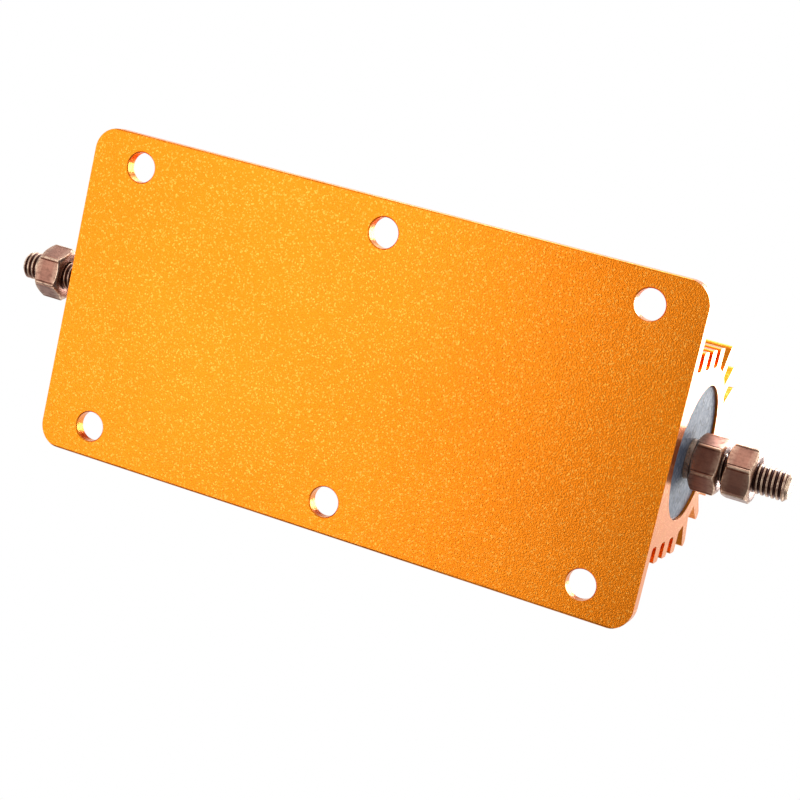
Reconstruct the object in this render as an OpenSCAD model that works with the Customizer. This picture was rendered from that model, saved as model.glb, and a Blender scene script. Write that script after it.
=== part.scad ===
// Aluminium housed power resistor: a wirewound element potted in the bore of a finned, gold
// anodised extrusion, with a threaded terminal stud and two hexagon nuts at each end.
// Frame: the mounting face lies on z = 0 with the origin at its middle, +X runs along the
// extrusion and +Z points up through the fins. Millimetres.

/* [Extrusion] */
// Length of the extrusion
housing_length = 142; // [110:1:200]
// Height from the mounting face to the flat on top
housing_height = 41.8; // [40.5:0.1:44]
// Width across the fins of the body
body_width = 44.6; // [42:0.2:50]
// Radius of the arched crown about the bore axis
crown_radius = 25.1; // [24:0.1:27]

/* [Mounting flange] */
// Width across the two flanges
flange_width = 73; // [70:0.5:90]
// Thickness of the flanges
flange_thickness = 3; // [2:0.1:4]
// Plan radius of the four flange corners
flange_corner_radius = 5.2; // [1:0.1:6.5]
// Rounding along the long edges of the flanges
flange_edge_radius = 0.5; // [0.2:0.05:0.9]

/* [Mounting holes] */
// Diameter of the mounting holes
hole_diameter = 6.6; // [4:0.1:7]
// Pitch of the holes along the length
hole_pitch_along = 59; // [40:0.5:60]
// Distance between the two rows of holes
hole_pitch_across = 59; // [56:0.5:61]
// Holes in each row
holes_per_row = 3; // [2:1:3]
// Edge break at both mouths of each hole
hole_edge_break = 0.25; // [0.1:0.05:0.4]

/* [Bore] */
// Diameter of the bore that holds the element
bore_diameter = 29.2; // [27:0.1:30]
// Height of the bore axis above the mounting face
bore_height = 18.3; // [17.5:0.1:20]
// Metal round the bore, out to the floors of the slots and grooves
barrel_wall = 3.8; // [2.5:0.1:4.4]

/* [Side fins] */
// Straight slots on each side, counted up from the flange
side_slots = 3; // [1:1:3]
// Height of a straight slot
slot_height = 3.2; // [2:0.1:3.4]
// Thickness of a side fin
fin_thickness = 3.4; // [2:0.1:3.6]
// Radius in the corners of a slot floor
slot_floor_radius = 0.8; // [0.3:0.1:0.9]
// Rounding on the edges of a side fin
fin_edge_radius = 0.6; // [0.2:0.1:0.9]

/* [Crown fins] */
// Angle of the lower crown fin above the horizontal
lower_crown_fin_angle = 28.5; // [27:0.5:30]
// Angle of the upper crown fin above the horizontal
upper_crown_fin_angle = 48.3; // [46:0.1:50]
// Thickness of a crown fin at its root
crown_fin_root = 3.2; // [2.6:0.1:3.6]
// Thickness of a crown fin at its rounded tip
crown_fin_tip = 2.3; // [1.6:0.1:2.6]
// Angle at which the solid top begins
top_land_angle = 60.7; // [58:0.1:66]
// Fillet where a wall of a crown groove meets the barrel
groove_fillet = 0.8; // [0.3:0.1:1]

/* [Wound element] */
// Outer diameter of the ceramic core
core_diameter = 20; // [16:0.5:21]
// Diameter of the hole through the core
core_hole = 9; // [8:0.5:12]
// How far the element lies to one side of the bore axis
element_offset = 1.3; // [0:0.1:1.5]
// Turns of resistance strip
winding_turns = 28; // [10:1:34]
// Width of the resistance strip
strip_width = 1.8; // [0.8:0.1:2]
// Thickness of the resistance strip
strip_thickness = 0.5; // [0.3:0.1:0.8]

/* [End caps] */
// Wall of the skirt of an end cap
cap_wall = 1; // [0.6:0.1:1.2]
// Thickness of the end plate of a cap
cap_plate = 1.6; // [1:0.1:3]
// Length of the skirt over the core
cap_skirt = 9; // [5:0.5:14]
// Potting between an end cap and an end disc
cap_cover = 5.4; // [3:0.2:9]

/* [End discs] */
// Thickness of an end disc
disc_thickness = 3; // [2:0.1:5]
// How far a disc lies below the end of the extrusion
disc_recess = 0.6; // [0.2:0.1:1.5]

/* [Terminal studs] */
// Thread diameter of the studs
thread_diameter = 6.3; // [5:0.1:6.8]
// Reach of the left stud past the end of the extrusion
left_stud_reach = 22.2; // [20:0.1:30]
// Reach of the right stud past the end of the extrusion
right_stud_reach = 21.1; // [20:0.1:30]
// Diameter of the plain shank below the thread
shank_diameter = 8.5; // [8:0.1:9.5]
// How far the shank stands out past the end of the extrusion
shank_reach = 0.7; // [0.1:0.1:1.2]
// Chamfer at the tip of a stud
tip_chamfer = 0.8; // [0.4:0.1:1]
// Diameter of the riveted head inside the core
rivet_diameter = 8.4; // [7:0.1:8.8]
// Thickness of the riveted head
rivet_head = 1.2; // [0.8:0.1:2]

/* [Nuts] */
// Width of a nut across its flats
nut_across_flats = 10.8; // [9.8:0.1:13]
// Height of a nut
nut_height = 6.1; // [4:0.1:6.3]
// Height the cone takes off each corner of a nut
nut_corner_cut = 0.75; // [0.3:0.05:1]
// Round face left on the end of a nut, as a share of the width across flats
nut_face_share = 0.94; // [0.88:0.01:0.99]
// Width of the countersink at each mouth of a nut
nut_countersink = 0.45; // [0.2:0.05:0.7]
// Space between the two nuts at the left end
left_nut_space = 4.2; // [0.5:0.1:5.2]
// Space between the two nuts at the right end
right_nut_space = 1.0; // [0.5:0.1:5.2]
// Turn of the inner nuts on their thread, in degrees
inner_nut_turn = 15.5; // [0:0.5:59.5]
// Turn of the left outer nut
left_outer_nut_turn = 24.7; // [0:0.1:59.9]
// Turn of the right outer nut
right_outer_nut_turn = 43; // [0:0.5:59.5]

/* [Fits] */
// Clearance between pieces that fit in or over one another
fit_clearance = 0.1; // [0.05:0.01:0.15]

/* [Hidden] */
$fn = 96;

// A cut starts and ends this far past the metal it opens.
past = 1;

// Share of its radius by which a groove fillet dips below the surfaces it joins.
fillet_dip = 0.05;

half_length = housing_length / 2;
bore_radius = bore_diameter / 2;
barrel_radius = bore_radius + barrel_wall;
slot_pitch = slot_height + fin_thickness;

// The element is laid out from the end of the extrusion inwards.
disc_outer_x = half_length - disc_recess;
disc_inner_x = disc_outer_x - disc_thickness;
cap_outer_x = disc_inner_x - cap_cover;
cap_inner_x = cap_outer_x - cap_plate;
cap_edge_x = cap_inner_x - cap_skirt;
core_end_x = cap_inner_x - fit_clearance;

core_radius = core_diameter / 2;
cap_bore_radius = core_radius + fit_clearance;
cap_radius = cap_bore_radius + cap_wall;
thread_radius = thread_diameter / 2;
shank_radius = shank_diameter / 2;
spigot_radius = thread_radius;
rivet_radius = rivet_diameter / 2;

// The strip is laid in flat chords, lifted so that the middle of each one clears the core.
winding_steps = 16;
strip_inner_radius = (core_radius + fit_clearance) / cos(180 / winding_steps);
strip_outer_radius = strip_inner_radius + strip_thickness;
winding_end_x = cap_edge_x - fit_clearance - strip_width / 2;
winding_pitch = 2 * winding_end_x / winding_turns;

// The terminals: shank, inner nut, outer nut and tip, outwards from the middle.
shank_end_x = half_length + shank_reach;
left_tip_x = half_length + left_stud_reach;
right_tip_x = half_length + right_stud_reach;
inner_nut_x = shank_end_x;
left_outer_nut_x = inner_nut_x + nut_height + left_nut_space;
right_outer_nut_x = inner_nut_x + nut_height + right_nut_space;
nut_bore_radius = thread_radius + fit_clearance;

gold = "goldenrod";
copper = "sienna";

function polar(r, a) = [r * cos(a), bore_height + r * sin(a)];

// Turns a profile drawn in y and z into a bar that runs along X.
module along_x(length) {
    rotate([90, 0, 90]) linear_extrude(height = length, center = true) children();
}

// Moves what is drawn along Z from the origin so that it runs along the axis of the element.
module on_element_axis() {
    translate([0, element_offset, bore_height]) rotate([0, 90, 0]) children();
}

module both_sides() {
    children();
    mirror([1, 0]) children();
}

// Draws a right-hand piece, or its mirror image for the left end.
module at_end(side) {
    if (side > 0) children();
    else mirror([1, 0, 0]) children();
}

/* The housing */

// A rectangle from the origin with its outer corners, on +x, rounded.
module bar_rounded_outside(length, height, r) {
    square([length - r, height]);
    translate([0, r]) square([length, height - 2 * r]);
    for (y = [r, height - r]) translate([length - r, y]) circle(r);
}

module flange_profile() {
    both_sides() bar_rounded_outside(flange_width / 2, flange_thickness, flange_edge_radius);
}

// One straight slot, its floor towards the bore, with round corners in the floor.
module slot_profile() {
    r = slot_floor_radius;
    reach = body_width / 2 - barrel_radius + past;
    translate([barrel_radius, 0]) {
        translate([r, 0]) square([reach, slot_height]);
        translate([0, r]) square([reach, slot_height - 2 * r]);
        for (z = [r, slot_height - r]) translate([r, z]) circle(r);
    }
}

// What comes off both edges of a side fin whose underside is at height z.
module fin_edges(z) {
    r = fin_edge_radius;
    for (top = [0, 1])
        translate([body_width / 2, z + top * fin_thickness]) mirror([0, 1 - top]) difference() {
            translate([-r, -r]) square(r + past);
            translate([-r, -r]) circle(r);
        }
}

// Metal that fills the corner between the barrel and a wall of a groove. The bore axis is at
// the origin, the wall runs along +x at the given distance from it and the groove lies above.
// The hollow of the fillet dips a little below both surfaces, so that it cuts them cleanly.
module root_fillet(distance) {
    r = groove_fillet;
    stand_off = r * (1 - fillet_dip);
    bite = barrel_wall / 4;
    out = sqrt(pow(barrel_radius + stand_off, 2) - pow(distance + stand_off, 2));
    corner = sqrt(pow(barrel_radius, 2) - pow(distance, 2));
    centre = [out, distance + stand_off];
    difference() {
        polygon([[corner - bite, distance - bite], [out, distance - bite], centre,
            centre * (barrel_radius - bite) / (barrel_radius + stand_off)]);
        translate(centre) circle(r);
    }
}

// A crown fin stands out from the barrel, filleted at its root, and ends in a full round.
module crown_fin(angle) {
    root = crown_fin_root / 2;
    tip = crown_fin_tip / 2;
    start = bore_radius + barrel_wall / 2;
    end = crown_radius - tip;
    taper = atan((root - tip) / (end - start));
    translate([0, bore_height]) rotate(angle) {
        polygon([[start, root], [start, -root], [end, -tip], [end, tip]]);
        translate([end, 0]) circle(tip);
        for (flip = [0, 1]) mirror([0, flip])
            rotate(-taper) root_fillet(start * sin(taper) + root * cos(taper));
    }
}

// The block of straight side fins, from the mounting face up to the top of the highest fin.
module fin_block() {
    top = flange_thickness + side_slots * slot_pitch;
    difference() {
        square([body_width / 2, top]);
        for (i = [0 : side_slots - 1]) {
            translate([0, flange_thickness + i * slot_pitch]) slot_profile();
            fin_edges(flange_thickness + i * slot_pitch + slot_height);
        }
    }
    translate([0, bore_height]) root_fillet(top - bore_height);
}

// The solid top between the uppermost grooves, with the flat along its middle.
module top_land() {
    wedge = 2 * crown_radius;
    intersection() {
        translate([0, bore_height]) circle(crown_radius);
        polygon([polar(0, 0), polar(wedge, top_land_angle), polar(wedge, 180 - top_land_angle)]);
        translate([-body_width / 2, bore_height]) square([body_width, housing_height - bore_height]);
    }
    both_sides() translate([0, bore_height]) rotate(top_land_angle) mirror([0, 1]) root_fillet(0);
}

module housing_profile() {
    difference() {
        union() {
            flange_profile();
            both_sides() {
                fin_block();
                crown_fin(lower_crown_fin_angle);
                crown_fin(upper_crown_fin_angle);
            }
            translate([0, bore_height]) circle(barrel_radius);
            top_land();
        }
        translate([0, bore_height]) circle(bore_radius);
        translate([-flange_width, -2 * barrel_radius]) square([2 * flange_width, 2 * barrel_radius]);
    }
}

// The plan outline: the four flange corners are rounded.
module plan_outline() {
    r = flange_corner_radius;
    l = housing_length;
    w = flange_width;
    translate([-l / 2 + r, -w / 2]) square([l - 2 * r, w]);
    translate([-l / 2, -w / 2 + r]) square([l, w - 2 * r]);
    for (x = [-1, 1], y = [-1, 1]) translate([x * (l / 2 - r), y * (w / 2 - r)]) circle(r);
}

module mounting_hole() {
    r = hole_diameter / 2;
    b = hole_edge_break;
    translate([0, 0, -past]) cylinder(r = r, h = flange_thickness + 2 * past);
    translate([0, 0, -past]) cylinder(r1 = r + b + past, r2 = r, h = b + past);
    translate([0, 0, flange_thickness - b]) cylinder(r1 = r, r2 = r + b + past, h = b + past);
}

module housing() {
    color(gold) difference() {
        intersection() {
            along_x(housing_length) housing_profile();
            linear_extrude(height = housing_height + past) plan_outline();
        }
        for (i = [0 : holes_per_row - 1], side = [-1, 1]) {
            x = (i - (holes_per_row - 1) / 2) * hole_pitch_along * 2 / (holes_per_row - 1);
            translate([x, side * hole_pitch_across / 2, 0]) mounting_hole();
        }
    }
}

/* The wound element */

module ceramic_core() {
    color("ivory") on_element_axis() difference() {
        cylinder(r = core_radius, h = 2 * core_end_x, center = true);
        cylinder(r = core_hole / 2, h = 2 * core_end_x + 2 * past, center = true);
    }
}

// Corner k of the strip's section, i steps along the helix, drawn round the Z axis.
function strip_corner(i, k) =
    let (r = k < 2 ? strip_inner_radius : strip_outer_radius,
        edge = (k == 0 || k == 3) ? -1 : 1,
        z = -winding_end_x + i * winding_pitch / winding_steps + edge * strip_width / 2)
    [r * cos(i * 360 / winding_steps), r * sin(i * 360 / winding_steps), z];

module resistance_winding() {
    steps = winding_turns * winding_steps;
    points = [for (i = [0 : steps], k = [0 : 3]) strip_corner(i, k)];
    sides = [for (i = [0 : steps - 1], k = [0 : 3], half = [0, 1])
        let (a = 4 * i + k, b = 4 * i + (k + 1) % 4)
        half == 0 ? [a, b, b + 4] : [a, b + 4, a + 4]];
    last = 4 * steps;
    ends = [[3, 2, 1], [3, 1, 0], [last, last + 1, last + 2], [last, last + 2, last + 3]];
    color("silver") on_element_axis() polyhedron(points = points, faces = concat(sides, ends));
}

// A deep cup pressed over the end of the core, with a hole for the stud's spigot.
module end_cap(side) {
    color("lightgray") at_end(side) on_element_axis() difference() {
        translate([0, 0, cap_edge_x]) cylinder(r = cap_radius, h = cap_outer_x - cap_edge_x);
        translate([0, 0, cap_edge_x - past])
            cylinder(r = cap_bore_radius, h = cap_inner_x - cap_edge_x + past);
        translate([0, 0, cap_inner_x - past])
            cylinder(r = spigot_radius + fit_clearance, h = cap_plate + 2 * past);
    }
}

// Cement that fills the bore round the element, between the two end discs.
module potting() {
    potting_length = 2 * (disc_inner_x - fit_clearance);
    winding_space = strip_outer_radius + fit_clearance;
    cap_space = cap_outer_x + fit_clearance;
    color("lightgray") difference() {
        translate([0, 0, bore_height]) rotate([0, 90, 0])
            cylinder(r = bore_radius - fit_clearance, h = potting_length, center = true);
        on_element_axis() {
            cylinder(r = winding_space, h = 2 * cap_space, center = true);
            cylinder(r = shank_radius + fit_clearance, h = housing_length, center = true);
            for (end = [0, 180]) rotate([end, 0, 0]) translate([0, 0, cap_edge_x - fit_clearance])
                cylinder(r = cap_radius + fit_clearance, h = cap_space - cap_edge_x + fit_clearance);
        }
    }
}

/* The ends */

// The disc is centred in the bore; its hole follows the stud.
module end_disc(side) {
    color("slategray") at_end(side) difference() {
        translate([disc_inner_x, 0, bore_height]) rotate([0, 90, 0])
            cylinder(r = bore_radius - fit_clearance, h = disc_thickness);
        on_element_axis() translate([0, 0, disc_inner_x - past])
            cylinder(r = shank_radius + fit_clearance, h = disc_thickness + 2 * past);
    }
}

// Riveted head, spigot, plain shank and threaded length, turned in one piece.
module terminal_stud(side, tip_x) {
    color(copper) at_end(side) on_element_axis() rotate_extrude() polygon([
        [0, cap_inner_x - rivet_head], [rivet_radius, cap_inner_x - rivet_head],
        [rivet_radius, cap_inner_x], [spigot_radius, cap_inner_x],
        [spigot_radius, cap_outer_x], [shank_radius, cap_outer_x],
        [shank_radius, shank_end_x], [thread_radius, shank_end_x],
        [thread_radius, tip_x - tip_chamfer], [thread_radius - tip_chamfer, tip_x],
        [0, tip_x]]);
}

// A hexagon nut whose lower face is at z = 0, its corners cut by a cone at both ends.
module hexagon_nut(turn) {
    corner_radius = nut_across_flats / 2 / cos(30);
    face_radius = nut_across_flats / 2 * nut_face_share;
    cut = nut_corner_cut * (corner_radius + past - face_radius) / (corner_radius - face_radius);
    rotate(turn) difference() {
        intersection() {
            cylinder(r = corner_radius, h = nut_height, $fn = 6);
            rotate_extrude() polygon([[0, 0], [face_radius, 0], [corner_radius + past, cut],
                [corner_radius + past, nut_height - cut], [face_radius, nut_height],
                [0, nut_height]]);
        }
        translate([0, 0, -past]) cylinder(r = nut_bore_radius, h = nut_height + 2 * past);
        for (face = [0, 1]) translate([0, 0, face * nut_height]) mirror([0, 0, face])
            translate([0, 0, -past])
                cylinder(r1 = nut_bore_radius + nut_countersink + past, r2 = nut_bore_radius,
                    h = nut_countersink + past);
    }
}

module nut_at(side, x, turn) {
    color(copper) at_end(side) on_element_axis() translate([0, 0, x]) hexagon_nut(turn);
}

housing();
ceramic_core();
resistance_winding();
end_cap(-1);  // end_cap_left
end_cap(1);  // end_cap_right
terminal_stud(-1, left_tip_x);  // terminal_stud_left
terminal_stud(1, right_tip_x);  // terminal_stud_right
potting();
end_disc(-1);  // end_disc_left
end_disc(1);  // end_disc_right
nut_at(-1, inner_nut_x, inner_nut_turn);  // inner_nut_left
nut_at(1, inner_nut_x, inner_nut_turn);  // inner_nut_right
nut_at(-1, left_outer_nut_x, left_outer_nut_turn);  // outer_nut_left
nut_at(1, right_outer_nut_x, right_outer_nut_turn);  // outer_nut_right
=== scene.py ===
import math

import bmesh
import bpy
from mathutils import Matrix, Vector


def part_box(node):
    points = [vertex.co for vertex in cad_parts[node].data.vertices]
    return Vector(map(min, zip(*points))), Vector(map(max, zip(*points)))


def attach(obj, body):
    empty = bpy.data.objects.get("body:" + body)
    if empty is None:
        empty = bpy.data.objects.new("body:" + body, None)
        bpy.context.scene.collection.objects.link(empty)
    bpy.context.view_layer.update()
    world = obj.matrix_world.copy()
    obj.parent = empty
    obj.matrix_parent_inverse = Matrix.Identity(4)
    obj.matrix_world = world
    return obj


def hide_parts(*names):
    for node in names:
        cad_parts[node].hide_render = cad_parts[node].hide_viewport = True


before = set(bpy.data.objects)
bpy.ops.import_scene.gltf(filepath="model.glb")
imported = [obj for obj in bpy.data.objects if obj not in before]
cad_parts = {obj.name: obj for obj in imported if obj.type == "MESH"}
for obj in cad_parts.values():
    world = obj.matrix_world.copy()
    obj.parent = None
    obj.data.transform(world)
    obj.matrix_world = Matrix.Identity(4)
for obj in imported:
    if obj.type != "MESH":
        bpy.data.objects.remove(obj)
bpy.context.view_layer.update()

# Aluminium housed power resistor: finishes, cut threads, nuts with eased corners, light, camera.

MM = 0.001
ENDS = {"left": -1, "right": 1}

THREAD_RADIUS = 3.15 * MM
THREAD_DEPTH = 0.5 * MM
THREAD_PITCH = 1.1 * MM
ROWS_A_TURN = 14            # rings of points along one pitch
THREAD_PLAY = 0.04 * MM     # between a stud and its nut
NUT_BORE = THREAD_RADIUS - THREAD_DEPTH + THREAD_PLAY
TINY = 0.01 * MM


# ---------------------------------------------------------------- camera

def place_camera():
    """The camera looks up at the mounting face from beside the right end."""
    to_right = Vector((0.8986204, -0.21756032, 0.38098411))
    to_top = Vector((-0.2691011, -0.95917548, 0.08698844))
    ahead = Vector((-0.34650538, 0.18069283, 0.92048037))
    eye = (0.16296525, -0.07534092, -0.40142593)
    data = bpy.data.cameras.new("camera")
    data.sensor_width = 36
    data.lens = 93.822
    data.clip_start, data.clip_end = 0.01, 50
    camera = bpy.data.objects.new("camera", data)
    turn = Matrix((to_right, to_top, -ahead)).transposed().to_4x4()
    camera.matrix_world = Matrix.Translation(eye) @ turn
    bpy.context.collection.objects.link(camera)
    bpy.context.scene.camera = camera


# ---------------------------------------------------------------- node helpers

def add(tree, kind, settings=None, **inputs):
    """A node of a kind. Each input is a plain value or the output socket that feeds it.

    An input is named by its label, with _ for a space, or by its number, as i0 or i7.
    """
    node = tree.nodes.new(kind)
    for name, value in (settings or {}).items():
        setattr(node, name, value)
    for name, value in inputs.items():
        by_number = name[1:].isdigit()
        socket = node.inputs[int(name[1:]) if by_number else name.replace("_", " ")]
        if isinstance(value, bpy.types.NodeSocket):
            tree.links.new(value, socket)
        else:
            socket.default_value = value
    return node


def sums(tree, operation, *values):
    """The output of a Math node."""
    numbered = {f"i{i}": v for i, v in enumerate(values)}
    return add(tree, "ShaderNodeMath", {"operation": operation}, **numbered).outputs[0]


def times(tree, first, second):
    return sums(tree, "MULTIPLY", first, second)


def graded(tree, value, low, high, to_low=0.0, to_high=1.0, smooth=False):
    """A value taken from one range to another, held at the ends."""
    settings = {"interpolation_type": "SMOOTHSTEP" if smooth else "LINEAR"}
    node = add(tree, "ShaderNodeMapRange", settings, Value=value, From_Min=low, From_Max=high,
               To_Min=to_low, To_Max=to_high)
    return node.outputs[0]


def blended(tree, share, first, second):
    """Two colours mixed by a share."""
    return add(tree, "ShaderNodeMix", {"data_type": "RGBA"}, i0=share, i6=first, i7=second).outputs[2]


def noise(tree, place, scale, detail=2.0, roughness=0.5, distortion=0.0):
    return add(tree, "ShaderNodeTexNoise", Vector=place, Scale=scale, Detail=detail,
               Roughness=roughness, Distortion=distortion).outputs["Fac"]


def cells(tree, place, scale):
    """A random value from 0 to 1 for each cell of a Voronoi pattern."""
    pattern = add(tree, "ShaderNodeTexVoronoi", {"feature": "F1"}, Vector=place, Scale=scale)
    return add(tree, "ShaderNodeSeparateColor", Color=pattern.outputs["Color"]).outputs[0]


def stretched(tree, place, along_x, across_y, across_z):
    """Object coordinates stretched, for marks that run one way."""
    return add(tree, "ShaderNodeMapping", Vector=place, Scale=(along_x, across_y, across_z)).outputs[0]


def split_place(tree, place):
    return add(tree, "ShaderNodeSeparateXYZ", Vector=place).outputs


def from_axis(tree, y, z):
    """Distance of a point from an axis along X, given its places across the axis."""
    return sums(tree, "SQRT", sums(tree, "ADD", times(tree, y, y), times(tree, z, z)))


def bump(tree, shader, height, distance, strength=1.0):
    node = add(tree, "ShaderNodeBump", Height=height, Distance=distance, Strength=strength)
    tree.links.new(node.outputs[0], shader.inputs["Normal"])


def colour(red, green, blue):
    """A colour given in display values, 0 to 255, as the linear one the nodes take."""
    def linear(v):
        v /= 255
        return v / 12.92 if v <= 0.04045 else ((v + 0.055) / 1.055) ** 2.4
    return linear(red), linear(green), linear(blue), 1.0


def scaled_colour(factor, display_values):
    return colour(*[min(255, factor * v) for v in display_values])


def new_group(name, inputs, outputs):
    """A shader node group with its sockets; inputs are given as (name, kind, value)."""
    group = bpy.data.node_groups.new(name, "ShaderNodeTree")
    for label, kind, value in inputs:
        socket = group.interface.new_socket(name=label, in_out="INPUT", socket_type="NodeSocket" + kind)
        if value is not None:
            socket.default_value = value
    for label, kind in outputs:
        group.interface.new_socket(name=label, in_out="OUTPUT", socket_type="NodeSocket" + kind)
    return group, group.nodes.new("NodeGroupInput").outputs, group.nodes.new("NodeGroupOutput").inputs


def use_group(tree, group, **inputs):
    return add(tree, "ShaderNodeGroup", {"node_tree": group}, **inputs).outputs


def new_material(name):
    """A material with its Principled shader, object coordinates and output."""
    material = bpy.data.materials.new(name)
    material.use_nodes = True
    tree = material.node_tree
    tree.nodes.clear()
    shader = tree.nodes.new("ShaderNodeBsdfPrincipled")
    output = tree.nodes.new("ShaderNodeOutputMaterial")
    tree.links.new(shader.outputs[0], output.inputs[0])
    place = tree.nodes.new("ShaderNodeTexCoord").outputs["Object"]
    return material, tree, shader, place


# ---------------------------------------------------------------- shared effects

def make_blasted_grain():
    """The fine matt grain that bead blasting leaves: tiny facets, and a random mask of the facets that get a
    painted highlight.
    """
    fine_share, coarse_share, coarse_size, facet_size = 0.6, 0.4, 0.55, 0.8
    group, given, out = new_group(
        "blasted_grain",
        [("Place", "Vector", None), ("Grain", "Float", 3000.0)],
        [("Height", "Float"), ("Speckle", "Float"), ("Painted Glint", "Float")])
    fine = noise(group, given["Place"], given["Grain"], detail=2.0, roughness=0.6)
    coarse = noise(group, given["Place"], times(group, given["Grain"], coarse_size), detail=1.0)
    height = sums(group, "ADD", times(group, fine, fine_share), times(group, coarse, coarse_share))
    chance = cells(group, given["Place"], times(group, given["Grain"], facet_size))
    group.links.new(height, out["Height"])
    group.links.new(graded(group, fine, 0.34, 0.66), out["Speckle"])
    # a random share of the facets, on which the gold is painted pale as a highlight
    group.links.new(graded(group, chance, 0.80, 1.0), out["Painted Glint"])
    return group


def make_drawn_streaks():
    """Long faint lines along X, from the die on an extrusion and from drawing on a bar."""
    group, given, out = new_group(
        "drawn_streaks", [("Place", "Vector", None), ("Across", "Float", 1400.0)],
        [("Streak", "Float")])
    lines = noise(group, stretched(group, given["Place"], 0.012, 1.0, 1.0), given["Across"], detail=3.0,
                  roughness=0.65)
    group.links.new(graded(group, lines, 0.3, 0.7), out["Streak"])
    return group


def make_uneven_tone():
    """Slow change of tone over a surface, from the bath, from handling and from dust."""
    smudge_size = 5.0
    group, given, out = new_group(
        "uneven_tone", [("Place", "Vector", None), ("Size", "Float", 30.0)],
        [("Tone", "Float"), ("Smudge", "Float")])
    slow = noise(group, given["Place"], given["Size"], detail=3.0, roughness=0.55, distortion=0.4)
    smudge = noise(group, given["Place"], times(group, given["Size"], smudge_size), detail=4.0,
                   roughness=0.7)
    group.links.new(graded(group, slow, 0.3, 0.7, smooth=True), out["Tone"])
    group.links.new(graded(group, smudge, 0.42, 0.72, smooth=True), out["Smudge"])
    return group


# ---------------------------------------------------------------- finishes

METAL_GRAIN = 4200.0        # grains to the metre


def make_gold_anodising(grain, streaks, tones):
    """Bead blasted and gold anodised aluminium: grainy base, drawn fins, sawn ends."""
    light, dark, speck = colour(244, 138, 30), colour(236, 130, 26), colour(208, 98, 14)
    painted_glint, handled = colour(255, 188, 84), colour(200, 112, 22)
    speck_share, painted_glint_share, handled_share = 0.3, 0.55, 0.08
    least_rough, tone_rough, speck_rough = 0.17, 0.04, 0.06
    side_grain, end_grain, streak_height, saw_height = 0.5, 0.12, 0.35, 0.14
    relief, on_face = 0.09 * MM, 0.02 * MM

    material, tree, shader, place = new_material("gold_anodised_aluminium")
    x, _, z = split_place(tree, place)
    half_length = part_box("housing")[1].x
    at_end = sums(tree, "GREATER_THAN", sums(tree, "ABSOLUTE", x), half_length - on_face)
    on_base = sums(tree, "LESS_THAN", z, on_face)
    blasted = use_group(tree, grain, Place=place, Grain=METAL_GRAIN)
    drawn = use_group(tree, streaks, Place=place, Across=1500.0)["Streak"]
    slow = use_group(tree, tones, Place=place, Size=22.0)
    # saw marks lie across the ends
    saw = noise(tree, stretched(tree, place, 1.0, 0.06, 1.0), 2600.0, detail=2.0)

    anodised = blended(tree, slow["Tone"], dark, light)
    anodised = blended(tree, times(tree, blasted["Speckle"], speck_share), anodised, speck)
    # painted highlight: random grains are painted pale gold, as facets that catch the light
    anodised = blended(tree, times(tree, blasted["Painted Glint"], painted_glint_share), anodised, painted_glint)
    anodised = blended(tree, times(tree, slow["Smudge"], handled_share), anodised, handled)
    tree.links.new(anodised, shader.inputs["Base Color"])
    shader.inputs["Metallic"].default_value = 1.0

    rough = sums(tree, "ADD", least_rough, times(tree, slow["Tone"], tone_rough))
    rough = sums(tree, "ADD", rough, times(tree, blasted["Speckle"], speck_rough))
    tree.links.new(rough, shader.inputs["Roughness"])

    off_base_grain = graded(tree, at_end, 0, 1, side_grain, end_grain)
    height = times(tree, blasted["Height"], graded(tree, on_base, 0, 1, off_base_grain, 1.0))
    on_side = sums(tree, "SUBTRACT", 1.0, sums(tree, "MAXIMUM", on_base, at_end))
    height = sums(tree, "ADD", height, times(tree, times(tree, drawn, streak_height), on_side))
    height = sums(tree, "ADD", height, times(tree, times(tree, saw, saw_height), at_end))
    bump(tree, shader, height, relief)
    return material


def thread_tone(tree, place, axis, metal, rubbed_and_lit):
    """The crests of a thread are painted pale, from rubbing and as painted highlight; its grooves are
    painted darker towards the root.
    """
    groove_dark, crest_highlight_share, groove_dark_share = colour(58, 38, 38), 0.75, 0.8
    crest_from, crest_to = THREAD_RADIUS - 0.16 * MM, THREAD_RADIUS - 0.04 * MM
    groove_dark_from, groove_dark_to = THREAD_RADIUS - 0.9 * THREAD_DEPTH, THREAD_RADIUS - 0.3 * THREAD_DEPTH
    _, y, z = split_place(tree, place)
    radius = from_axis(tree, sums(tree, "SUBTRACT", y, axis[0]), sums(tree, "SUBTRACT", z, axis[1]))
    # painted highlight and rubbing: the crests are painted pale
    crest = graded(tree, radius, crest_from, crest_to, smooth=True)
    rubbed_and_lit = sums(tree, "MAXIMUM", rubbed_and_lit, times(tree, crest, crest_highlight_share))
    # the grooves are painted darker towards their root
    metal = blended(tree, graded(tree, radius, groove_dark_from, groove_dark_to, groove_dark_share, 0.0), metal, groove_dark)
    return metal, rubbed_and_lit


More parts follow.
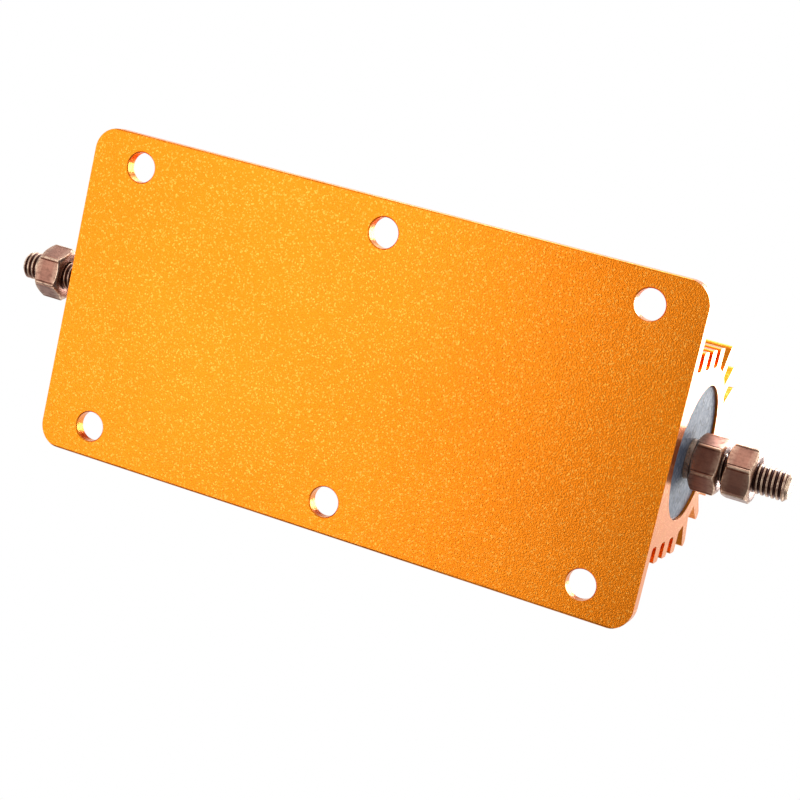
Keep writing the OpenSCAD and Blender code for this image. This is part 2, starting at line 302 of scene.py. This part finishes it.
def make_copper(name, grain, streaks, tones, light, dark, shine, axis=None):
    """Copper-coloured terminal metal: tarnished, and painted pale where the attribute on the rings says so,
    as bare metal from rubbing and as painted highlight.
    """
    bare_metal_and_highlight = colour(238, 208, 180)
    tarnish_share, tarnish_depth, streak_share, streak_lift = 0.35, 0.62, 0.18, 1.25
    least_patch, smudge_rough, grain_height, streak_height = 0.35, 0.16, 0.5, 0.4
    relief = 0.02 * MM

    material, tree, shader, place = new_material(name)
    blasted = use_group(tree, grain, Place=place, Grain=METAL_GRAIN)
    drawn = use_group(tree, streaks, Place=place, Across=2600.0)["Streak"]
    slow = use_group(tree, tones, Place=place, Size=170.0)
    metal = blended(tree, slow["Tone"], colour(*dark), colour(*light))
    metal = blended(tree, times(tree, slow["Smudge"], tarnish_share), metal,
                    scaled_colour(tarnish_depth, dark))
    metal = blended(tree, times(tree, drawn, streak_share), metal, scaled_colour(streak_lift, light))
    rubbed_and_lit = add(tree, "ShaderNodeAttribute", {"attribute_name": "worn_and_lit"}).outputs["Fac"]
    if axis:
        metal, rubbed_and_lit = thread_tone(tree, place, axis, metal, rubbed_and_lit)
    # painted highlight and bare metal from rubbing: the marked places are painted pale
    patchy = times(tree, rubbed_and_lit, graded(tree, slow["Smudge"], 0.0, 0.6, 1.0, least_patch))
    metal = blended(tree, patchy, metal, bare_metal_and_highlight)
    tree.links.new(metal, shader.inputs["Base Color"])
    shader.inputs["Metallic"].default_value = 1.0
    rough = sums(tree, "ADD", shine, times(tree, slow["Smudge"], smudge_rough))
    tree.links.new(rough, shader.inputs["Roughness"])
    height = sums(tree, "ADD", times(tree, blasted["Height"], grain_height),
                  times(tree, drawn, streak_height))
    bump(tree, shader, height, relief, 0.6)
    return material


def make_moulded_disc(grain, tones):
    """Slate-grey moulded disc with a coarse mineral mottle."""
    light, dark = colour(104, 118, 140), colour(72, 86, 108)
    pale_flake, dark_flake, flake_size, flake_height = colour(140, 150, 168), colour(40, 46, 60), 1300.0, 0.5
    relief = 0.05 * MM

    material, tree, shader, place = new_material("mottled_slate_moulding")
    blasted = use_group(tree, grain, Place=place, Grain=1900.0)
    slow = use_group(tree, tones, Place=place, Size=140.0)
    flake = cells(tree, place, flake_size)
    body = blended(tree, slow["Tone"], dark, light)
    body = blended(tree, graded(tree, flake, 0.55, 0.95, 0.0, 0.55), body, pale_flake)
    body = blended(tree, graded(tree, flake, 0.35, 0.05, 0.0, 0.6), body, dark_flake)
    tree.links.new(body, shader.inputs["Base Color"])
    tree.links.new(graded(tree, blasted["Speckle"], 0, 1, 0.42, 0.62), shader.inputs["Roughness"])
    height = sums(tree, "ADD", blasted["Height"], times(tree, flake, flake_height))
    bump(tree, shader, height, relief, 0.6)
    return material


def make_inner_finish(name, grain, tones, first, second, rough, metallic, size):
    """A finish for the pieces inside the bore."""
    speck_share, speck_depth, smudge_rough, relief = 0.2, 0.8, 0.15, 0.03 * MM

    material, tree, shader, place = new_material(name)
    blasted = use_group(tree, grain, Place=place, Grain=size)
    slow = use_group(tree, tones, Place=place, Size=60.0)
    body = blended(tree, slow["Tone"], colour(*first), colour(*second))
    body = blended(tree, times(tree, blasted["Speckle"], speck_share), body,
                   scaled_colour(speck_depth, first))
    tree.links.new(body, shader.inputs["Base Color"])
    shader.inputs["Metallic"].default_value = metallic
    uneven = graded(tree, slow["Smudge"], 0, 1, rough, rough + smudge_rough)
    tree.links.new(uneven, shader.inputs["Roughness"])
    bump(tree, shader, blasted["Height"], relief, 0.5)
    return material


def finish_node(name, material):
    """Gives a carried-over solid its finish."""
    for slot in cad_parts[name].material_slots:
        slot.material = material


# ---------------------------------------------------------------- turned and threaded pieces

def make_thread_cutter():
    """Cuts a right-hand thread along X into a turned blank, or into the bore of a nut."""
    root_end, crest_start = 0.06, 0.80      # shares of the half pitch that the groove's wall spans
    reach_of_cut = 0.15 * MM                # how far outside the thread's radius points still move
    tree = bpy.data.node_groups.new("cut_thread", "GeometryNodeTree")
    numbers = {"Axis Y": 0.0, "Axis Z": 0.0, "Radius": THREAD_RADIUS, "Depth": THREAD_DEPTH,
               "Pitch": THREAD_PITCH, "From X": 0.0, "To X": 0.0, "Run In": 0.6 * MM,
               "Play": 0.0, "Inside": 0.0}
    for label, value in numbers.items():
        socket = tree.interface.new_socket(name=label, in_out="INPUT", socket_type="NodeSocketFloat")
        socket.default_value = value
    blank = tree.interface.new_socket(name="Blank", in_out="INPUT", socket_type="NodeSocketGeometry")
    tree.interface.move(blank, 0)
    tree.interface.new_socket(name="Metal", in_out="INPUT", socket_type="NodeSocketMaterial")
    tree.interface.new_socket(name="Threaded", in_out="OUTPUT", socket_type="NodeSocketGeometry")
    given = tree.nodes.new("NodeGroupInput").outputs
    out = tree.nodes.new("NodeGroupOutput").inputs

    x, y, z = split_place(tree, tree.nodes.new("GeometryNodeInputPosition").outputs[0])
    y = sums(tree, "SUBTRACT", y, given["Axis Y"])
    z = sums(tree, "SUBTRACT", z, given["Axis Z"])
    radius = from_axis(tree, y, z)
    turn = sums(tree, "DIVIDE", sums(tree, "ARCTAN2", z, y), 2 * math.pi)
    phase = sums(tree, "FRACT", sums(tree, "SUBTRACT", sums(tree, "DIVIDE", x, given["Pitch"]), turn))
    from_root = times(tree, sums(tree, "ABSOLUTE", sums(tree, "SUBTRACT", phase, 0.5)), 2.0)
    cut = graded(tree, from_root, root_end, crest_start, 1.0, 0.0, smooth=True)

    # on a stud the cut fades in over the run-in; inside a nut it is full depth throughout
    reach = sums(tree, "SUBTRACT", sums(tree, "ABSOLUTE", x), given["From X"])
    fade = graded(tree, sums(tree, "DIVIDE", reach, given["Run In"]), 0.0, 1.0, smooth=True)
    cut = times(tree, cut, sums(tree, "MAXIMUM", fade, given["Inside"]))
    wall = sums(tree, "SUBTRACT", given["Radius"], times(tree, cut, given["Depth"]))
    wall = sums(tree, "ADD", wall, given["Play"])
    outer = sums(tree, "MINIMUM", radius, wall)
    inner = sums(tree, "MAXIMUM", radius, wall)
    turned = sums(tree, "ADD", times(tree, outer, sums(tree, "SUBTRACT", 1.0, given["Inside"])),
                  times(tree, inner, given["Inside"]))
    share = sums(tree, "DIVIDE", turned, sums(tree, "MAXIMUM", radius, TINY))
    moved = add(tree, "ShaderNodeCombineXYZ", X=x,
                Y=sums(tree, "ADD", times(tree, y, share), given["Axis Y"]),
                Z=sums(tree, "ADD", times(tree, z, share), given["Axis Z"])).outputs[0]

    past_start = sums(tree, "GREATER_THAN", reach, TINY)
    before_end = sums(tree, "LESS_THAN", sums(tree, "ABSOLUTE", x), given["To X"])
    near = sums(tree, "LESS_THAN", radius, sums(tree, "ADD", given["Radius"], reach_of_cut))
    chosen = times(tree, times(tree, past_start, before_end), near)
    threaded = add(tree, "GeometryNodeSetPosition", Geometry=given["Blank"], Selection=chosen,
                   Position=moved)
    real = add(tree, "GeometryNodeRealizeInstances", Geometry=threaded.outputs[0])
    coated = add(tree, "GeometryNodeSetMaterial", Geometry=real.outputs[0], Material=given["Metal"])
    tree.links.new(coated.outputs[0], out["Threaded"])
    return tree


def mesh_of_rings(name, rings, wear_and_highlight, closed_round=False):
    """A mesh from rings of points about the X axis; a ring of one point is a pole.

    The list given for the rings says, ring by ring, how pale each point is painted, for wearing and for
    painted highlight; the mesh keeps it as an attribute.
    closed_round joins the last ring to the first, as round a nut's bore.
    """
    points, starts = [], []
    for ring in rings:
        starts.append(len(points))
        points.extend(ring)
    faces = []
    pairs = list(zip(range(len(rings) - 1), range(1, len(rings))))
    if closed_round:
        pairs.append((len(rings) - 1, 0))
    for a, b in pairs:
        count_a, count_b = len(rings[a]), len(rings[b])
        count = max(count_a, count_b)
        for i in range(count):
            j = (i + 1) % count
            if count_a == 1:
                faces.append((starts[a], starts[b] + i, starts[b] + j))
            elif count_b == 1:
                faces.append((starts[a] + i, starts[b], starts[a] + j))
            else:
                faces.append((starts[a] + i, starts[b] + i, starts[b] + j, starts[a] + j))
    mesh = bpy.data.meshes.new(name)
    mesh.from_pydata([tuple(p) for p in points], [], faces)
    worn_and_lit = mesh.attributes.new("worn_and_lit", "FLOAT", "POINT")
    worn_and_lit.data.foreach_set("value", [w for ring in wear_and_highlight for w in ring])
    return mesh


def facing_out(mesh):
    """Turns the faces outwards and keeps sharp what is sharp."""
    work = bmesh.new()
    work.from_mesh(mesh)
    bmesh.ops.recalc_face_normals(work, faces=work.faces)
    work.to_mesh(mesh)
    work.free()
    mesh.shade_smooth()
    mesh.set_sharp_from_angle(angle=math.radians(38))


def cut_thread(blank_mesh, cutter, metal, name, **sizes):
    """Runs the thread cutter over a blank and returns the finished piece as a plain mesh."""
    blank = bpy.data.objects.new("blank", blank_mesh)
    bpy.context.collection.objects.link(blank)
    modifier = blank.modifiers.new("thread", "NODES")
    modifier.node_group = cutter
    labels = {s.name: s.identifier for s in cutter.interface.items_tree
              if s.item_type == "SOCKET" and s.in_out == "INPUT"}
    for label, value in sizes.items():
        modifier[labels[label.replace("_", " ")]] = value
    modifier[labels["Metal"]] = metal
    bpy.context.view_layer.update()
    ready = blank.evaluated_get(bpy.context.evaluated_depsgraph_get())
    mesh = bpy.data.meshes.new_from_object(ready)
    blank.modifiers.remove(modifier)
    bpy.data.objects.remove(blank)
    mesh.name = name
    facing_out(mesh)
    piece = bpy.data.objects.new(name, mesh)
    bpy.context.collection.objects.link(piece)
    return piece


def hand_over(piece, node):
    """The finished piece takes the place of its plain solid."""
    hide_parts(node)
    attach(piece, "root")


def turned_ring(x, radius, axis, count):
    if radius <= 0:
        return [(x, axis[0], axis[1])]
    angles = [2 * math.pi * i / count for i in range(count)]
    return [(x, axis[0] + radius * math.cos(a), axis[1] + radius * math.sin(a)) for a in angles]


def element_axis(node):
    low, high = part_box(node)
    return (low.y + high.y) / 2, (low.z + high.z) / 2


def span_out(node, side):
    """Distances of a node's inner and outer end from the middle, along X."""
    low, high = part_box(node)
    return (low.x, high.x) if side > 0 else (-high.x, -low.x)


def make_stud(end, cutter, metal):
    """Riveted head, spigot, shank and a threaded length with a chamfered tip."""
    rivet_radius, rivet_head, ease, chamfer = 4.2 * MM, 1.2 * MM, 0.25 * MM, 0.8 * MM
    points_round, middle_share, tip_wear_and_highlight_share, run_in = 56, 0.55, 0.9, 0.7 * MM
    side = ENDS[end]
    node = f"terminal_stud_{end}"
    low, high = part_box(node)
    axis = element_axis(node)
    root, tip = span_out(node, side)
    shank_radius = (high.y - low.y) / 2
    cap_outer = span_out(f"end_cap_{end}", side)[1]
    shank_end = span_out(f"inner_nut_{end}", side)[0]
    tip_radius = THREAD_RADIUS - chamfer

    profile = [(root, 0), (root, rivet_radius - ease), (root + ease, rivet_radius),
               (root + rivet_head, rivet_radius), (root + rivet_head, THREAD_RADIUS),
               (cap_outer, THREAD_RADIUS), (cap_outer, shank_radius),
               (shank_end - ease / 2, shank_radius), (shank_end, shank_radius - ease / 2),
               (shank_end, THREAD_RADIUS)]
    step = THREAD_PITCH / ROWS_A_TURN
    for i in range(1, int((tip - shank_end) / step) + 1):
        x = shank_end + i * step
        if x < tip - 0.2 * step:
            profile.append((x, min(THREAD_RADIUS, tip_radius + (tip - x))))
    profile += [(tip, tip_radius), (tip, tip_radius * middle_share), (tip, 0)]

    rings = [turned_ring(side * x, r, axis, points_round) for x, r in profile]
    # the tip's chamfer is painted pale, as wearing and as painted highlight
    wear_and_highlight = [[1.0 if x > tip - chamfer * tip_wear_and_highlight_share else 0.0] * len(ring)
            for (x, r), ring in zip(profile, rings)]
    piece = cut_thread(mesh_of_rings("blank", rings, wear_and_highlight), cutter, metal, f"threaded_stud_{end}",
                       Axis_Y=axis[0], Axis_Z=axis[1], From_X=shank_end, To_X=tip + MM, Run_In=run_in)
    hand_over(piece, node)


def nut_outline(angle, flats, ease):
    """Distance from the axis to the side of a hexagon with eased corners; a corner is at angle 0."""
    off_corner = (angle + math.pi / 6) % (math.pi / 3) - math.pi / 6
    from_flat = math.pi / 6 - abs(off_corner)
    side = flats / 2 / math.cos(from_flat)
    centre = (flats / 2 - ease) / math.cos(math.pi / 6)
    across = centre * math.sin(off_corner)
    if abs(across) < ease:
        side = min(side, centre * math.cos(off_corner) + math.sqrt(ease ** 2 - across ** 2))
    return side


def nut_directions():
    """Degrees round a nut at which its rings have points: close together at each corner."""
    flat = [6, 9, 13, 18, 24, 30, 36, 42, 47, 51, 54]
    corner = [-4.4, -3.2, -2.2, -1.3, -0.6, 0, 0.6, 1.3, 2.2, 3.2, 4.4]
    return sorted({round(60 * k + a, 3) % 360 for k in range(6) for a in flat + corner})


def make_nut(node, turn, cutter, metal):
    """A hexagon nut with chamfered, eased corners and a threaded bore."""
    flats, cut, face_share, ease, soft = 10.8 * MM, 0.75 * MM, 0.94, 0.45 * MM, 0.12 * MM
    countersink, bore_mouth, cone_steps, corner_spread = 0.45 * MM, 3.7 * MM, 12, 3.4
    least_cut, least_back = 0.08 * MM, 0.05 * MM
    # steps over the chamfer's rim: place along the axis and pull inwards, in softs, then how pale it is
    # painted, for wearing and as painted highlight
    rim = ((-1.6, 0.0, 0.35), (-0.7, 0.04, 0.9), (0.0, 0.22, 1.0), (0.7, 0.06, 0.9), (1.6, 0.0, 0.3))

    low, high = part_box(node)
    axis = element_axis(node)
    height = high.x - low.x
    corner = flats / 2 / math.cos(math.pi / 6)
    face = flats / 2 * face_share
    slope = cut / (corner - face)
    degrees = nut_directions()
    outline = [nut_outline(math.radians(a), flats, ease) for a in degrees]
    directions = [(math.sin(math.radians(a + turn)), -math.cos(math.radians(a + turn))) for a in degrees]
    # the corners are painted pale, as wearing and as painted highlight
    at_corner = [max(0.0, 1 - min(a % 60, 60 - a % 60) / corner_spread) for a in degrees]
    meet = [max(least_cut, slope * (r - face)) for r in outline]
    rings, wear_and_highlight = [], []

    def add_ring(places, worn_and_lit):
        """places holds (x, distance from the axis) for each direction round the nut."""
        rings.append([(x, axis[0] + r * d[0], axis[1] + r * d[1]) for (x, r), d in zip(places, directions)])
        wear_and_highlight.append(worn_and_lit)

    def round_ring(x, radius):
        add_ring([(x, radius)] * len(degrees), [0.0] * len(degrees))

    def face_to_flats(origin, inwards):
        """From the end face over the chamfer and its eased rim on to the flats."""
        steps = [([(origin, face - soft)] * len(degrees), [0.1] * len(degrees)),
                 ([(origin + inwards * soft * 0.2, face + soft * 0.4)] * len(degrees), [0.5] * len(degrees))]
        for back, pull, worn_and_lit in rim:
            places = []
            for m, r in zip(meet, outline):
                along = max(least_back, m + back * soft)
                out = min(r, face + along / slope) if back < 0 else r
                places.append((origin + inwards * along, out - pull * soft))
            steps.append((places, [max(worn_and_lit, c) for c in at_corner]))
        return steps

    threaded = height - 2 * countersink
    rows = int(threaded / THREAD_PITCH * ROWS_A_TURN)
    for i in range(rows, -1, -1):
        round_ring(low.x + countersink + threaded * i / rows, NUT_BORE)
    for i in range(1, cone_steps + 1):
        share = i / cone_steps
        round_ring(low.x + countersink * (1 - share), NUT_BORE + (bore_mouth - NUT_BORE) * share)
    for places, worn_and_lit in face_to_flats(low.x, 1):
        add_ring(places, worn_and_lit)
    for share in (0.3, 0.5, 0.7):
        add_ring([(low.x + height * share, r) for r in outline], at_corner)
    for places, worn_and_lit in reversed(face_to_flats(high.x, -1)):
        add_ring(places, worn_and_lit)
    for i in range(cone_steps):
        share = i / cone_steps
        round_ring(high.x - countersink * share, bore_mouth - (bore_mouth - NUT_BORE) * share)

    blank = mesh_of_rings("blank", rings, wear_and_highlight, closed_round=True)
    piece = cut_thread(blank, cutter, metal, node.replace("_nut", "_hexagon_nut"), Axis_Y=axis[0],
                       Axis_Z=axis[1], From_X=-1.0, To_X=1.0, Play=THREAD_PLAY, Inside=1.0)
    hand_over(piece, node)


# ---------------------------------------------------------------- stage

def make_floor():
    """A plain pale floor under the mounting face, seen only from above."""
    half, z, paper_size = 6.0, -0.02 * MM, 40.0
    light, dark = (0.9, 0.9, 0.9, 1), (0.86, 0.86, 0.86, 1)
    mesh = bpy.data.meshes.new("floor")
    corners = [(-half, -half, z), (half, -half, z), (half, half, z), (-half, half, z)]
    mesh.from_pydata(corners, [], [(0, 1, 2, 3)])
    floor = bpy.data.objects.new("floor", mesh)
    bpy.context.collection.objects.link(floor)
    material, tree, shader, place = new_material("pale_floor")
    shader.inputs["Roughness"].default_value = 0.7
    shader.inputs["Specular IOR Level"].default_value = 0.2
    paper = noise(tree, place, paper_size, detail=4.0)
    tree.links.new(blended(tree, paper, dark, light), shader.inputs["Base Color"])
    # clear from below, so that the mounting face can be looked at
    clear = tree.nodes.new("ShaderNodeBsdfTransparent").outputs[0]
    behind = tree.nodes.new("ShaderNodeNewGeometry").outputs["Backfacing"]
    shown = add(tree, "ShaderNodeMixShader", i0=behind, i1=shader.outputs[0], i2=clear).outputs[0]
    output = next(n for n in tree.nodes if n.type == "OUTPUT_MATERIAL")
    tree.links.new(shown, output.inputs[0])
    mesh.materials.append(material)
    floor.visible_shadow = False
    floor.visible_diffuse = False
    floor.visible_glossy = False
    floor.visible_transmission = False


def make_world():
    """White behind the object and in its reflections, dimmer where the base faces, soft for light."""
    soft_light, base_mirror, side_dimming = 0.35, 0.4, 0.6
    world = bpy.data.worlds.new("studio")
    bpy.context.scene.world = world
    world.use_nodes = True
    tree = world.node_tree
    tree.nodes.clear()
    path = tree.nodes.new("ShaderNodeLightPath").outputs
    toward = split_place(tree, tree.nodes.new("ShaderNodeTexCoord").outputs["Generated"])
    below = graded(tree, toward[2], -0.85, -0.15, base_mirror, 1.0, smooth=True)
    low_side = times(tree, graded(tree, toward[1], 0.2, 0.7, 0.0, side_dimming, smooth=True),
                     graded(tree, toward[2], 0.1, 0.6, 1.0, 0.0, smooth=True))
    below = times(tree, below, sums(tree, "SUBTRACT", 1.0, low_side))
    mirrored = sums(tree, "MAXIMUM", path["Is Glossy Ray"], path["Is Transmission Ray"])
    extra = times(tree, mirrored, sums(tree, "SUBTRACT", below, soft_light))
    strength = sums(tree, "MAXIMUM", sums(tree, "ADD", soft_light, extra), path["Is Camera Ray"])
    background = add(tree, "ShaderNodeBackground", Color=(1, 1, 1, 1), Strength=strength)
    output = tree.nodes.new("ShaderNodeOutputWorld")
    tree.links.new(background.outputs[0], output.inputs[0])


def add_softbox(name, place, aim, width, height, power):
    data = bpy.data.lights.new(name, "AREA")
    data.shape = "RECTANGLE"
    data.size, data.size_y = width, height
    data.energy = power
    lamp = bpy.data.objects.new(name, data)
    lamp.location = place
    lamp.rotation_mode = "QUATERNION"
    lamp.rotation_quaternion = (Vector(aim) - Vector(place)).to_track_quat("-Z", "Y")
    bpy.context.collection.objects.link(lamp)


def light_the_stage():
    """Soft boxes: place, the point each aims at, width, height and power."""
    add_softbox("key_softbox", (-0.25, -0.75, 0.75), (0, 0, 0.02), 0.6, 0.6, 5)
    add_softbox("side_softbox", (0.0, -0.85, 0.12), (0.02, 0, 0.02), 0.7, 0.3, 1.4)
    add_softbox("fill_softbox", (0.55, 0.6, 0.55), (0, 0, 0.02), 0.7, 0.7, 0.8)
    add_softbox("under_softbox", (-0.20, -0.02, -0.30), (-0.20, -0.02, 0), 0.32, 0.45, 0.72)
    add_softbox("end_softbox", (0.28, -0.12, 0.75), (0.07, 0, 0.02), 0.4, 0.45, 5)


# ---------------------------------------------------------------- put together

def dress():
    """Every solid gets its finish; studs and nuts are replaced by threaded pieces."""
    grain, streaks, tones = make_blasted_grain(), make_drawn_streaks(), make_uneven_tone()
    gold = make_gold_anodising(grain, streaks, tones)
    nut_metal = make_copper("tarnished_copper_nut", grain, streaks, tones,
                            (150, 106, 90), (122, 84, 72), 0.30)
    stud_metal = make_copper("tarnished_copper_stud", grain, streaks, tones,
                             (136, 98, 88), (104, 72, 66), 0.32, element_axis("terminal_stud_right"))
    disc = make_moulded_disc(grain, tones)
    # dark and light tone, roughness, metallic, grains to the metre
    ceramic = make_inner_finish("unglazed_ceramic", grain, tones,
                                (222, 214, 194), (236, 230, 214), 0.6, 0.0, 1800.0)
    strip = make_inner_finish("resistance_strip", grain, tones,
                              (140, 138, 134), (166, 164, 158), 0.3, 1.0, 3600.0)
    cap = make_inner_finish("drawn_steel", grain, tones,
                            (170, 170, 168), (190, 190, 190), 0.3, 1.0, 3000.0)
    cement = make_inner_finish("set_cement", grain, tones,
                               (150, 150, 144), (172, 170, 164), 0.8, 0.0, 1200.0)
    finish_node("housing", gold)
    finish_node("ceramic_core", ceramic)
    finish_node("resistance_winding", strip)
    finish_node("potting", cement)

    inner_turn, outer_turn = 15.5, {"left": 24.7, "right": 43.0}
    cutter = make_thread_cutter()
    for end in ENDS:
        finish_node(f"end_cap_{end}", cap)
        finish_node(f"end_disc_{end}", disc)
        finish_node(f"terminal_stud_{end}", stud_metal)
        finish_node(f"inner_nut_{end}", nut_metal)
        finish_node(f"outer_nut_{end}", nut_metal)
        make_stud(end, cutter, stud_metal)
        make_nut(f"inner_nut_{end}", inner_turn, cutter, nut_metal)
    for end in ENDS:
        make_nut(f"outer_nut_{end}", outer_turn[end], cutter, nut_metal)


dress()
make_floor()
make_world()
light_the_stage()
place_camera()
bpy.context.scene.view_settings.view_transform = "Standard"
